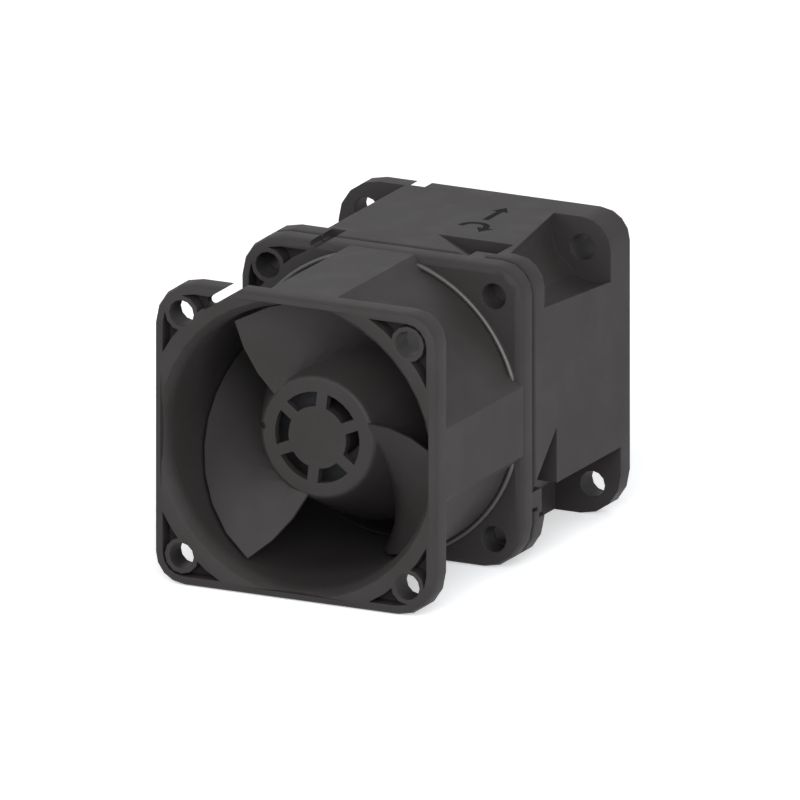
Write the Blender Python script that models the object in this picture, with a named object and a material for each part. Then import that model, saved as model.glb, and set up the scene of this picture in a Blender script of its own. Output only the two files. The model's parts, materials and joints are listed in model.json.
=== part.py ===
"""A counter-rotating axial fan, 40 mm square and 56 mm long.

Two fan units stand back to back on one axis, along Y. The inlet unit faces -Y and the outlet
unit faces +Y. Each unit is modelled in its own frame, with its depth measured along y from its
outer face towards the joint, and is then placed, the outlet unit as a mirror image, so that its
impeller has the opposite hand. The casing stands on z = 0 with its middle at the origin.
"""

import math

import bmesh
import bpy
from mathutils import Matrix, Vector

MM = 0.001

# Clearances
FIT = 0.3 * MM
OVERLAP = 0.4 * MM
CUT_MARGIN = 1.0 * MM

# Casing moulding
SIDE = 40.0 * MM
UNIT_LENGTH = 28.0 * MM
ROUND_CORNER = 4.1 * MM
BLUNT_CORNER = 5.7 * MM
FLANGE_THICKNESS = 3.4 * MM
FACE_FILLET = 0.9 * MM
BACK_FILLET = 0.4 * MM
INLET_JOINT_FLANGE = 3.3 * MM
OUTLET_JOINT_FLANGE = 3.6 * MM
DUCT_MARGIN = 1.5 * MM
BARREL_WALL = 0.9 * MM
LIP_HEIGHT = 0.5 * MM
LIP_WIDTH = 0.6 * MM
FLAT_SHARE = 0.23

# Mouth of the duct
MOUTH_WALL = 0.28 * MM
MOUTH_DEPTH = 2.6 * MM
RIM_WIDTH = 1.0 * MM
EXIT_FLARE = 1.0 * MM
EXIT_DEPTH = 1.4 * MM

# Mounting holes and the pockets beside them
HOLE_SHARE = 0.8
HOLE_RADIUS = 1.75 * MM
BOSS_WALL = 0.6 * MM
POCKET_RIM = 1.3 * MM
POCKET_DEPTH = 2.2 * MM
POCKET_RING = 0.9 * MM

# Slit for the leads beside the top left corner of each flange
SLIT_WIDTH = 1.1 * MM
SLIT_CLEARANCE = 1.2 * MM
SLIT_ANGLE = math.radians(123.2)
SLIT_REACH = 1.2 * MM
JOINT_SLIT_SETBACK = 2.7 * MM

# Outlet casing walls, scoop and latches
WALL_OPENING = 9.4 * MM
SCOOP_FLOOR = 6.2 * MM
SCOOP_INSET = 2.0 * MM
SCOOP_RADIUS = 6.4 * MM
SCOOP_END_INSET_X = 1.1 * MM
SCOOP_END_INSET_Z = 2.4 * MM
SCOOP_END_RADIUS = 4.3 * MM
LATCH_INSET = 6.1 * MM
HOOK_REACH = 1.0 * MM
RAMP_LENGTH = 6.9 * MM
LATCH_DEPTH = 6.3 * MM
RAMP_LAND = 0.7 * MM
LATCH_FLOOR = 2.9 * MM
CATCH_THICKNESS = 1.3 * MM
CLAW_WIDTH = 2.2 * MM
CLAW_HEAD = 1.2 * MM

# Motor base and struts
BASE_THICKNESS = 1.6 * MM
BASE_WALL = 1.0 * MM
BASE_DEPTH = 5.0 * MM
STRUT_COUNT = 4
STRUT_THICKNESS = 1.2 * MM
STRUT_DEPTH = 4.2 * MM
STRUT_LEAN = math.radians(22.0)
STRUT_START = math.radians(45.0)
BOSS_HEIGHT = 1.8 * MM
SLEEVE_BOSS_WALL = 1.0 * MM

# Impeller hub
HUB_RADIUS = 14.2 * MM
HUB_FACE_SHARE = 0.2334
HUB_NOSE_SHARE = 0.563
HUB_CONE_SHARE = 0.844
HUB_REAR_GAP = 0.6 * MM
HUB_WALL = 1.2 * MM
HUB_ROUNDING = 0.45 * MM
SLOT_COUNT = 6
SLOT_MARGIN = 0.4 * MM
SLOT_SHARE = 0.75
SLOT_SPOKE = 1.5 * MM
SLOT_START = math.radians(53.0)
NOTCH_RADIUS = 0.45 * MM
NOTCH_DEPTH = 0.9 * MM
NOTCH_ANGLE = math.radians(176.0)

# Blades
TIP_CLEARANCE = 0.5 * MM
BLADE_ROOT_THICKNESS = 1.0 * MM
BLADE_TIP_THICKNESS = 0.6 * MM
BLADE_EDGE_THICKNESS = 0.45
BLADE_EDGE_SHARE = 0.14
ROOT_SINK = 0.35 * MM
CHORD_STEPS = 9
SPAN_STEPS = 3
TANGENT_STEP = 0.02

# Rotor: widths across the axis are shares of the hub's radius, lengths are shares of the hub's
SHAFT_SHARE = 0.0704
SHAFT_CHAMFER = 0.2 * MM
GROOVE_DEPTH = 0.25 * MM
BUSH_WALL_SHARE = 0.0634
BUSH_LENGTH_SHARE = 0.716
YOKE_SHARE = 0.704
YOKE_WALL = 0.6 * MM
YOKE_BEND = 0.9 * MM
YOKE_END_GAP = 0.35 * MM
YOKE_LENGTH_SHARE = 0.597
MAGNET_WALL_SHARE = 0.0915
MAGNET_FRONT_GAP = 1.5 * MM
AIR_GAP = 0.4 * MM
BEARING_SHARE = 0.176
BEARING_WIDTH = 2.3 * MM
BEARING_GROOVE = 0.25 * MM
SLEEVE_WALL = 0.6 * MM
SLEEVE_START_SHARE = 0.734
SLEEVE_END_GAP = 0.4 * MM
SLEEVE_SHOULDER = 0.5 * MM
BEARING_SPREAD_SHARE = 0.3936
SPRING_WIRE = 0.16 * MM
SPRING_TURNS = 2.5
CLIP_THICKNESS = 0.4 * MM
CLIP_WIDTH = 0.7 * MM
CLIP_GAP_ANGLE = math.radians(70.0)
SHAFT_TAIL = 0.6 * MM

# Stator
STATOR_START_SHARE = 0.6596
STATOR_STACK_SHARE = 0.5106
STATOR_RING_SHARE = 0.0704
TOOTH_COUNT = 4
TOOTH_WIDTH_SHARE = 0.1127
TOOTH_SHOE = 0.8 * MM
TOOTH_SHOE_ANGLE = math.radians(37.0)
INSULATOR_THICKNESS = 0.5 * MM
COIL_BUILD = 0.8 * MM
COIL_LAYER = 0.5 * MM
COIL_CORNER_SHARE = 0.33
BOARD_THICKNESS = 0.8 * MM
BOARD_SETBACK = 4.65 * MM
BOARD_EDGE_GAP = 0.6 * MM
CHIP_SIZE = 3.2 * MM
CHIP_THICKNESS = 0.9 * MM
CHIP_ANGLE = math.radians(200.0)
SENSOR_SIZE = 1.6 * MM
SENSOR_THICKNESS = 0.5 * MM

# Facets round one turn
FINE_TURN = 40
HUB_TURN = 36
BASE_TURN = 24
ROTOR_TURN = 20
SMALL_TURN = 10
HOLE_TURN = 12
SPRING_TURN = 9
MOUTH_STEPS = 3
EXIT_STEPS = 2
SCOOP_TURN = 24
WIRE_SIDES = 5
SHOE_STEPS = 5
TOOTH_STEPS = 2
CORNER_STEPS = 4
FILLET_STEPS = 2

# Casing sizes that follow from its side and length
AXIS_HEIGHT = SIDE / 2
HALF_SIDE = SIDE / 2
CASING_LENGTH = UNIT_LENGTH - FIT / 2
DUCT_RADIUS = HALF_SIDE - DUCT_MARGIN
BARREL_RADIUS = DUCT_RADIUS + BARREL_WALL
TIP_RADIUS = DUCT_RADIUS - TIP_CLEARANCE
HOLE_OFFSET = HALF_SIDE * HOLE_SHARE
MOUTH_RADIUS = HOLE_OFFSET * math.sqrt(2.0) - HOLE_RADIUS - MOUTH_WALL
FLAT_HALF_WIDTH = HALF_SIDE * FLAT_SHARE
WALL_REACH = HALF_SIDE - WALL_OPENING
SLIT_DISTANCE = BARREL_RADIUS + LIP_HEIGHT + SLIT_CLEARANCE + SLIT_WIDTH / 2
LATCH_END = HALF_SIDE - LATCH_INSET
LATCH_CATCH = LATCH_END - HOOK_REACH
LATCH_LEFT = LATCH_CATCH - 2 * FIT - CLAW_WIDTH
CORNERS = ((1, 1), (-1, 1), (-1, -1), (1, -1))
CORNER_RADII = (ROUND_CORNER, BLUNT_CORNER, ROUND_CORNER, BLUNT_CORNER)

# Depths of the rotor and the motor
BASE_START = CASING_LENGTH - BASE_DEPTH
HUB_END = BASE_START - HUB_REAR_GAP
HUB_FACE = CASING_LENGTH * HUB_FACE_SHARE
HUB_LENGTH = HUB_END - HUB_FACE
HUB_CONE_LENGTH = HUB_LENGTH * HUB_CONE_SHARE
YOKE_LENGTH = HUB_LENGTH * YOKE_LENGTH_SHARE
YOKE_END = HUB_END - YOKE_END_GAP
YOKE_FACE = YOKE_END - YOKE_LENGTH
SLEEVE_START = YOKE_END - YOKE_LENGTH * SLEEVE_START_SHARE
SLEEVE_END = CASING_LENGTH - SLEEVE_END_GAP
BEARING_SPREAD = (SLEEVE_END - SLEEVE_START) * BEARING_SPREAD_SHARE
STATOR_START = YOKE_END - YOKE_LENGTH * STATOR_START_SHARE
STATOR_STACK = YOKE_LENGTH * STATOR_STACK_SHARE
BOARD_START = CASING_LENGTH - BOARD_SETBACK
BUSH_START = HUB_FACE + HUB_WALL + 2 * FIT
BUSH_LENGTH = (SLEEVE_START - BUSH_START) * BUSH_LENGTH_SHARE

# Radii of the rotor and the motor
HUB_FACE_RADIUS = HUB_RADIUS * HUB_NOSE_SHARE
SHAFT_RADIUS = HUB_RADIUS * SHAFT_SHARE
BUSH_RADIUS = SHAFT_RADIUS + FIT + HUB_RADIUS * BUSH_WALL_SHARE
SLOT_INNER = BUSH_RADIUS + FIT + HUB_WALL + SLOT_MARGIN
SLOT_OUTER = HUB_FACE_RADIUS * SLOT_SHARE
BEARING_RADIUS = HUB_RADIUS * BEARING_SHARE
SLEEVE_BORE = BEARING_RADIUS + FIT
SLEEVE_RADIUS = SLEEVE_BORE + SLEEVE_WALL
YOKE_RADIUS = HUB_RADIUS * YOKE_SHARE
YOKE_BORE = YOKE_RADIUS - YOKE_WALL
MAGNET_RADIUS = YOKE_BORE - FIT
MAGNET_WALL = HUB_RADIUS * MAGNET_WALL_SHARE
MAGNET_BORE = MAGNET_RADIUS - MAGNET_WALL
STATOR_RADIUS = MAGNET_BORE - AIR_GAP
STATOR_BORE = SLEEVE_RADIUS + FIT
STATOR_RING = HUB_RADIUS * STATOR_RING_SHARE
TOOTH_WIDTH = HUB_RADIUS * TOOTH_WIDTH_SHARE


class BladeForm:
    """Where one impeller's blades run, at the root and at the tip.

    Each curve has a leading point, a control point that bends it, and a trailing point. A point
    is a depth, as a share of the hub's length behind the hub's face, and an angle in degrees.
    """

    def __init__(self, count, root, tip):
        self.count = count
        self.root = root
        self.tip = tip


INLET_BLADES = BladeForm(
    count=3,
    root=((0.006, 141.0), (0.140, 84.0), (0.857, 50.0)),
    tip=((-0.222, 123.5), (0.210, 56.0), (0.889, 38.5)),
)
OUTLET_BLADES = BladeForm(
    count=5,
    root=((0.057, 96.0), (0.286, 62.0), (0.857, 34.0)),
    tip=((-0.159, 88.0), (0.286, 50.0), (0.889, 30.0)),
)


def clear_scene():
    """Remove every object of the scene that the script starts in."""
    for item in list(bpy.data.objects):
        bpy.data.objects.remove(item, do_unlink=True)


def make_material(name, color, roughness, metallic=0.0):
    """Return a Principled BSDF material."""
    material = bpy.data.materials.new(name)
    material.use_nodes = True
    shader = material.node_tree.nodes["Principled BSDF"]
    shader.inputs["Base Color"].default_value = (*color, 1.0)
    shader.inputs["Roughness"].default_value = roughness
    shader.inputs["Metallic"].default_value = metallic
    return material


def around(radius, angle, depth=0.0):
    """Return the point at a radius and an angle from +X towards +Z, at a depth along y."""
    return Vector((radius * math.cos(angle), depth, radius * math.sin(angle)))


def bridge(bm, lower, upper):
    """Join two closed rings of vertices with quads."""
    count = len(lower)
    for index in range(count):
        following = (index + 1) % count
        bm.faces.new((lower[index], upper[index], upper[following], lower[following]))


def loft(rings, curved_ends=False):
    """Return a closed solid through rings of points, with both ends capped.

    A curved end is closed by a strip of quads between the ring's two long sides.
    """
    bm = bmesh.new()
    layers = [[bm.verts.new(point) for point in ring] for ring in rings]
    for lower, upper in zip(layers, layers[1:]):
        bridge(bm, lower, upper)
    for ring in (layers[0], layers[-1]):
        if curved_ends:
            close_strip(bm, ring)
        else:
            bm.faces.new(ring)
    bmesh.ops.recalc_face_normals(bm, faces=bm.faces)
    return bm


def close_strip(bm, ring):
    """Close a long thin ring with quads from one side to the other."""
    last = len(ring) - 1
    for index in range(len(ring) // 2 - 1):
        bm.faces.new((ring[index], ring[index + 1], ring[last - index - 1], ring[last - index]))


def prism(outline, start, end):
    """Return an outline of (x, z) points extruded along y."""
    return loft([[(x, depth, z) for x, z in outline] for depth in (start, end)])


def revolve(profile, segments):
    """Return the closed profile of (radius, depth) points turned about the y axis."""
    bm = bmesh.new()
    rings = []
    for radius, depth in profile:
        if radius < MM / 1000:
            rings.append([bm.verts.new((0.0, depth, 0.0))])
            continue
        angles = [math.tau * step / segments for step in range(segments)]
        rings.append([bm.verts.new(around(radius, angle, depth)) for angle in angles])
    for index, ring in enumerate(rings):
        join_rings(bm, ring, rings[(index + 1) % len(rings)])
    bmesh.ops.recalc_face_normals(bm, faces=bm.faces)
    return bm


def join_rings(bm, ring, other):
    """Join two rings of a turned solid, either of which may be one point on the axis."""
    if len(ring) == 1 and len(other) == 1:
        return
    if len(ring) > 1 and len(other) > 1:
        bridge(bm, ring, other)
        return
    point, circle = (ring[0], other) if len(ring) == 1 else (other[0], ring)
    for index, vertex in enumerate(circle):
        bm.faces.new((point, vertex, circle[(index + 1) % len(circle)]))


def cylinder(radius, start, end, segments, centre=(0.0, 0.0)):
    """Return a solid cylinder along y about a centre given as (x, z)."""
    angles = [math.tau * step / segments for step in range(segments)]
    outline = [(centre[0] + radius * math.cos(a), centre[1] + radius * math.sin(a)) for a in angles]
    return prism(outline, start, end)


def block(low, high):
    """Return a box between two corners, each (x, y, z)."""
    outline = [(low[0], low[2]), (high[0], low[2]), (high[0], high[2]), (low[0], high[2])]
    return prism(outline, low[1], high[1])


def arc(centre, radius, start, end, steps):
    """Return points along an arc, both ends included."""
    angles = [start + (end - start) * step / steps for step in range(steps + 1)]
    return [(centre[0] + radius * math.cos(a), centre[1] + radius * math.sin(a)) for a in angles]


def rounded_square(inset):
    """Return the outline of the casing's square, with its rounded corners, moved inwards."""
    outline = []
    for index, ((x, z), corner) in enumerate(zip(CORNERS, CORNER_RADII)):
        centre = (x * (HALF_SIDE - corner), z * (HALF_SIDE - corner))
        start = index * math.pi / 2
        outline += arc(centre, corner - inset, start, start + math.pi / 2, CORNER_STEPS)
    return outline


def flange(start, end, start_fillet, end_fillet):
    """Return a square plate whose outer edges are rounded on both faces."""
    rings = []
    for step in range(FILLET_STEPS + 1):
        angle = math.pi / 2 * step / FILLET_STEPS
        inset = start_fillet * (1 - math.sin(angle))
        rings.append((inset, start + start_fillet * (1 - math.cos(angle))))
    for step in range(FILLET_STEPS + 1):
        angle = math.pi / 2 * step / FILLET_STEPS
        inset = end_fillet * (1 - math.cos(angle))
        rings.append((inset, end - end_fillet * (1 - math.sin(angle))))
    sections = []
    for inset, depth in rings:
        sections.append([(x, depth, z) for x, z in rounded_square(inset)])
    return loft(sections)


def turned(outline, quarter):
    """Return an outline turned clockwise, seen from the inlet, by a number of quarter turns."""
    points = list(outline)
    for _ in range(quarter):
        points = [(z, -x) for x, z in points]
    return points


def tool_object(bm):
    """Return a scene object that holds a mesh used only to shape another."""
    mesh = bpy.data.meshes.new("tool")
    bm.to_mesh(mesh)
    bm.free()
    tool = bpy.data.objects.new("tool", mesh)
    tool.hide_render = True
    tool.display_type = "WIRE"
    bpy.context.scene.collection.objects.link(tool)
    return tool


class Solid:
    """A solid that is cut, joined and placed by steps."""

    def __init__(self, bm):
        self.item = tool_object(bm)

    def _combine(self, bm, operation):
        tool = tool_object(bm)
        modifier = self.item.modifiers.new("shape", "BOOLEAN")
        modifier.operation = operation
        modifier.solver = "EXACT"
        modifier.object = tool
        depsgraph = bpy.context.evaluated_depsgraph_get()
        mesh = bpy.data.meshes.new_from_object(self.item.evaluated_get(depsgraph))
        self.item.modifiers.clear()
        old_mesh, tool_mesh = self.item.data, tool.data
        self.item.data = mesh
        bpy.data.objects.remove(tool, do_unlink=True)
        bpy.data.meshes.remove(old_mesh)
        bpy.data.meshes.remove(tool_mesh)
        return self

    def cut(self, bm):
        """Take a shape away."""
        return self._combine(bm, "DIFFERENCE")

    def join(self, bm):
        """Add a shape that reaches into this one."""
        return self._combine(bm, "UNION")

    def keep(self, bm):
        """Keep only what lies inside a shape."""
        return self._combine(bm, "INTERSECT")

    def take(self):
        """Return the shape as a bmesh and remove its object."""
        bm = bmesh.new()
        bm.from_mesh(self.item.data)
        mesh = self.item.data
        bpy.data.objects.remove(self.item, do_unlink=True)
        bpy.data.meshes.remove(mesh)
        bmesh.ops.remove_doubles(bm, verts=bm.verts, dist=MM / 1000)
        return bm


class Unit:
    """One of the two fan units: its name, its place on the axis and its rotor."""

    def __init__(self, name, mirrored):
        self.name = name
        self.mirrored = mirrored
        side = 1.0 if mirrored else -1.0
        place = (0.0, side * UNIT_LENGTH, AXIS_HEIGHT)
        self.frame = self._empty(f"{name}_unit", place)
        self.rotor = self._empty(f"{name}_rotor_axis", place)

    def _empty(self, name, place):
        empty = bpy.data.objects.new(name, None)
        empty.location = place
        empty.empty_display_size = SIDE / 4
        bpy.context.scene.collection.objects.link(empty)
        return empty

    def add(self, name, bm, material, spins=False):
        """Place a finished solid in this unit, turned to face the unit's outer side."""
        if self.mirrored:
            bmesh.ops.transform(bm, matrix=Matrix.Scale(-1.0, 4, (0.0, 1.0, 0.0)), verts=bm.verts)
            bmesh.ops.reverse_faces(bm, faces=bm.faces)
        mesh = bpy.data.meshes.new(f"{self.name}_{name}")
        bm.to_mesh(mesh)
        bm.free()
        mesh.shade_smooth()
        mesh.set_sharp_from_angle(angle=math.radians(30.0))
        mesh.materials.append(material)
        item = bpy.data.objects.new(f"{self.name}_{name}", mesh)
        item.parent = self.rotor if spins else self.frame
        bpy.context.scene.collection.objects.link(item)
        return item


def duct_tool(flare, depth, steps):
    """Return the air passage: a flared mouth that narrows into the straight duct."""
    profile = [(0.0, -CUT_MARGIN), (DUCT_RADIUS + flare, -CUT_MARGIN)]
    for step in range(steps + 1):
        angle = math.pi / 2 * step / steps
        radius = DUCT_RADIUS + flare * (1 - math.sin(angle))
        profile.append((radius, depth * (1 - math.cos(angle))))
    profile.append((DUCT_RADIUS, CASING_LENGTH + CUT_MARGIN))
    profile.append((0.0, CASING_LENGTH + CUT_MARGIN))
    return revolve(profile, FINE_TURN)


def mouth_tool():
    """Return the inlet's passage, whose flare stops at the straight rim of the flange."""
    passage = Solid(duct_tool(MOUTH_RADIUS - DUCT_RADIUS, MOUTH_DEPTH, MOUTH_STEPS))
    square = rounded_square(RIM_WIDTH)
    return passage.keep(prism(square, -CUT_MARGIN / 2, CASING_LENGTH + CUT_MARGIN / 2)).take()


def pocket_tool(start, end):
    """Return the small three-sided pockets that flank each hole, inside the flange's rim."""
    pockets = Solid(prism(rounded_square(POCKET_RIM), start, end))
    low, high = start - CUT_MARGIN, end + CUT_MARGIN
    pockets.cut(cylinder(MOUTH_RADIUS + POCKET_RING, low, high, FINE_TURN))
    for x, z in CORNERS:
        centre = (x * HOLE_OFFSET, z * HOLE_OFFSET)
        pockets.cut(cylinder(HOLE_RADIUS + BOSS_WALL, low, high, HOLE_TURN, centre))
    return pockets.take()


def cut_holes(casing):
    """Cut the four mounting holes through every flange of a casing."""
    for x, z in CORNERS:
        centre = (x * HOLE_OFFSET, z * HOLE_OFFSET)
        end = CASING_LENGTH + CUT_MARGIN
        casing.cut(cylinder(HOLE_RADIUS, -CUT_MARGIN, end, HOLE_TURN, centre))


def slit_tool(reach, start, end):
    """Return the lead slit, tangent to the barrel, with a round closed end."""
    outward = (math.cos(SLIT_ANGLE), math.sin(SLIT_ANGLE))
    along = (outward[1], -outward[0])
    centre = (
        outward[0] * SLIT_DISTANCE - along[0] * reach,
        outward[1] * SLIT_DISTANCE - along[1] * reach,
    )
    half = SLIT_WIDTH / 2
    outline = arc(centre, half, SLIT_ANGLE, SLIT_ANGLE + math.pi, CORNER_STEPS)
    far = (centre[0] + along[0] * HALF_SIDE, centre[1] + along[1] * HALF_SIDE)
    outline.append((far[0] - outward[0] * half, far[1] - outward[1] * half))
    outline.append((far[0] + outward[0] * half, far[1] + outward[1] * half))
    return prism(outline, start, end)


def barrel_outline():
    """Return the round barrel's outline with a flat, square-stepped pad on each side."""
    ramp_end = barrel_ramp_angle()
    outline = []
    for quarter in range(4):
        steps = FINE_TURN // 4
        curve = arc((0.0, 0.0), BARREL_RADIUS, math.pi / 2 - ramp_end, ramp_end, steps)
        section = [(-FLAT_HALF_WIDTH, HALF_SIDE), (FLAT_HALF_WIDTH, HALF_SIDE)] + curve
        outline += turned(section, quarter)
    return list(reversed(outline))


def barrel_ramp_angle():
    """Return the angle where a pad's sloping side meets the round barrel."""
    total = HALF_SIDE + FLAT_HALF_WIDTH
    chord = BARREL_RADIUS * math.sqrt(2.0)
    return math.pi / 4 - math.acos(min(1.0, total / chord))


def motor_base():
    """Return the shallow cup that carries the motor, with its boss for the bearing sleeve."""
    end = CASING_LENGTH
    bore = SLEEVE_RADIUS + FIT
    boss = bore + SLEEVE_BOSS_WALL
    floor = end - BASE_THICKNESS
    inner = HUB_RADIUS - BASE_WALL
    profile = [
        (HUB_RADIUS, BASE_START),
        (inner, BASE_START),
        (inner, floor),
        (boss, floor),
        (boss, floor - BOSS_HEIGHT),
        (bore, floor - BOSS_HEIGHT),
        (bore, end),
        (HUB_RADIUS, end),
    ]
    return revolve(profile, BASE_TURN)


def strut(angle):
    """Return one leaning strut between the motor base and the duct's wall."""
    inner = HUB_RADIUS - OVERLAP
    outer = DUCT_RADIUS + OVERLAP
    end = CASING_LENGTH
    start = end - STRUT_DEPTH
    lean = STRUT_DEPTH * math.tan(STRUT_LEAN)
    half = STRUT_THICKNESS / 2
    rings = []
    for depth, shift in ((start, lean / 2), (end, -lean / 2)):
        low, high = shift - half, shift + half
        ring = []
        for along, across in ((inner, low), (outer, low), (outer, high), (inner, high)):
            x = along * math.cos(angle) - across * math.sin(angle)
            z = along * math.sin(angle) + across * math.cos(angle)
            ring.append((x, depth, z))
        rings.append(ring)
    return loft(rings)


def add_motor_base(casing):
    """Join the motor base and its struts to a casing."""
    base = Solid(motor_base())
    for index in range(STRUT_COUNT):
        base.join(strut(STRUT_START + math.tau * index / STRUT_COUNT))
    return casing.join(base.take())


def claw(quarter):
    """Return one latch claw, an L that stands on the back of the inlet casing."""
    top = HALF_SIDE - BACK_FILLET
    floor = HALF_SIDE - LATCH_FLOOR + FIT
    root = CASING_LENGTH - OVERLAP
    neck = UNIT_LENGTH + FIT / 2 + CATCH_THICKNESS + FIT
    tip = neck + CLAW_HEAD
    stem_end = LATCH_CATCH - FIT
    stem_start = LATCH_LEFT + FIT
    head_end = LATCH_END - FIT
    corners = (
        (stem_start, root), (stem_end, root), (stem_end, neck),
        (head_end, neck), (head_end, tip), (stem_start, tip),
    )
    return side_prism(corners, floor, top, quarter)


def latch_tool(quarter):
    """Return the open pocket that a claw hooks into, with a ledge left for its head."""
    low = HALF_SIDE - LATCH_FLOOR
    high = HALF_SIDE + CUT_MARGIN
    end = CASING_LENGTH + CUT_MARGIN
    start = CASING_LENGTH - LATCH_DEPTH
    ledge = CASING_LENGTH - CATCH_THICKNESS
    corners = (
        (LATCH_LEFT, start), (LATCH_END, start), (LATCH_END, ledge),
        (LATCH_CATCH, ledge), (LATCH_CATCH, end), (LATCH_LEFT, end),
    )
    return side_prism(corners, low, high, quarter)


def ramp_tool(quarter):
    """Return the ramp beside a latch: it sinks from the wall's face down to the latch's floor.

    The ramp's upper edge runs slantwise, from the pocket's far corner to the joint beside the claw.
    """
    far = CASING_LENGTH - LATCH_DEPTH
    near = CASING_LENGTH + FIT
    start = LATCH_LEFT - RAMP_LENGTH
    fall = LATCH_FLOOR / RAMP_LENGTH
    skew = (RAMP_LENGTH - RAMP_LAND) / LATCH_DEPTH
    edge = start + skew * (near - far)
    high = HALF_SIDE + CUT_MARGIN
    end = LATCH_LEFT + FIT
    plan = ((start, far), (end, far), (end, near), (edge, near))
    floor = []
    for along, depth in plan:
        past_edge = max(0.0, along - start - skew * (depth - far))
        floor.append((along, depth, HALF_SIDE - fall * past_edge))
    return side_block([floor, [(along, depth, high) for along, depth in plan]], quarter)


def side_prism(corners, low, high, quarter):
    """Return an outline of (along, depth) points between two heights, on one of the sides."""
    rings = [[(along, depth, height) for along, depth in corners] for height in (low, high)]
    return side_block(rings, quarter)


def side_block(rings, quarter):
    """Return a loft of (along, depth, height) rings, set on one of the four sides."""
    placed = []
    for ring in rings:
        points = []
        for along, depth, height in ring:
            ((x, z),) = turned([(along, height)], quarter)
            points.append((x, depth, z))
        placed.append(points)
    return loft(placed)


def inlet_casing():
    """Return the inlet casing: front flange, mouth, padded barrel, joint flange and claws."""
    joint = CASING_LENGTH - INLET_JOINT_FLANGE
    casing = Solid(flange(0.0, FLANGE_THICKNESS, FACE_FILLET, BACK_FILLET))
    casing.join(prism(barrel_outline(), FLANGE_THICKNESS - OVERLAP, joint + OVERLAP))
    lip = BARREL_RADIUS + LIP_HEIGHT
    casing.join(cylinder(lip, joint - LIP_WIDTH, joint + OVERLAP, FINE_TURN))
    casing.join(flange(joint, CASING_LENGTH, FACE_FILLET, BACK_FILLET))
    casing.cut(mouth_tool())
    casing.cut(pocket_tool(-CUT_MARGIN, POCKET_DEPTH))
    joint_pockets = Solid(pocket_tool(joint - CUT_MARGIN, joint + POCKET_DEPTH))
    top_left = block((-HALF_SIDE, 0.0, 0.0), (0.0, UNIT_LENGTH, HALF_SIDE))
    casing.cut(joint_pockets.keep(top_left).take())
    middle = CASING_LENGTH / 2
    casing.cut(slit_tool(SLIT_REACH, -CUT_MARGIN, middle))
    casing.cut(slit_tool(-JOINT_SLIT_SETBACK, middle, CASING_LENGTH + CUT_MARGIN))
    cut_holes(casing)
    add_motor_base(casing)
    for quarter in range(4):
        casing.join(claw(quarter))
    return casing.take()


def scoop_tool(start, end):
    """Return the tapering scoop beside the upper right hole, widest towards the rear flange."""
    wide = HALF_SIDE - SCOOP_INSET
    narrow = (HALF_SIDE - SCOOP_END_INSET_X, HALF_SIDE - SCOOP_END_INSET_Z)
    rings = []
    for depth, centre, radius in (
        (start, (wide, wide), SCOOP_RADIUS),
        (end, narrow, SCOOP_END_RADIUS),
    ):
        outline = arc(centre, radius, 0.0, math.tau, SCOOP_TURN)[:-1]
        rings.append([(x, depth, z) for x, z in outline])
    return loft(rings)


def outlet_walls(joint):
    """Return the outlet's square walls, open at three corners and scooped at the fourth."""
    start = FLANGE_THICKNESS - OVERLAP
    end = joint + FACE_FILLET
    walls = Solid(prism(rounded_square(0.0), start, end))
    far = HALF_SIDE + CUT_MARGIN
    for x, z in CORNERS[1:]:
        low = (min(x * WALL_REACH, x * far), FLANGE_THICKNESS, min(z * WALL_REACH, z * far))
        high = (max(x * WALL_REACH, x * far), end + FIT, max(z * WALL_REACH, z * far))
        walls.cut(block(low, high))
    return walls.cut(scoop_tool(SCOOP_FLOOR, end + FIT))


def outlet_casing():
    """Return the outlet casing: two flanges with square walls between them round its barrel."""
    joint = CASING_LENGTH - OUTLET_JOINT_FLANGE
    casing = outlet_walls(joint)
    casing.join(flange(joint, CASING_LENGTH, FACE_FILLET, BACK_FILLET))
    face = Solid(flange(0.0, FLANGE_THICKNESS, FACE_FILLET, BACK_FILLET))
    casing.join(face.cut(slit_tool(SLIT_REACH, -CUT_MARGIN, FLANGE_THICKNESS + CUT_MARGIN)).take())
    for quarter in range(4):
        casing.cut(latch_tool(quarter))
        casing.cut(ramp_tool(quarter))
    barrel_start = FLANGE_THICKNESS - OVERLAP
    casing.join(cylinder(BARREL_RADIUS, barrel_start, CASING_LENGTH - FIT, FINE_TURN))
    casing.cut(duct_tool(EXIT_FLARE, EXIT_DEPTH, EXIT_STEPS))
    casing.cut(slit_tool(-JOINT_SLIT_SETBACK, joint + FACE_FILLET, CASING_LENGTH + CUT_MARGIN))
    cut_holes(casing)
    return add_motor_base(casing).take()


def bend(points, share):
    """Return the point at a share of a quadratic curve through (depth share, degrees) points."""
    weights = ((1 - share) ** 2, 2 * share * (1 - share), share ** 2)
    depth_share = sum(weight * point[0] for weight, point in zip(weights, points))
    degrees = sum(weight * point[1] for weight, point in zip(weights, points))
    return HUB_FACE + HUB_LENGTH * depth_share, math.radians(degrees)


def hub_radius_at(depth):
    """Return the hub's outer radius at a depth: a cone, then a short straight skirt."""
    share = (depth - HUB_FACE) / HUB_CONE_LENGTH
    share = min(max(share, 0.0), 1.0)
    return HUB_FACE_RADIUS + (HUB_RADIUS - HUB_FACE_RADIUS) * share


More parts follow.
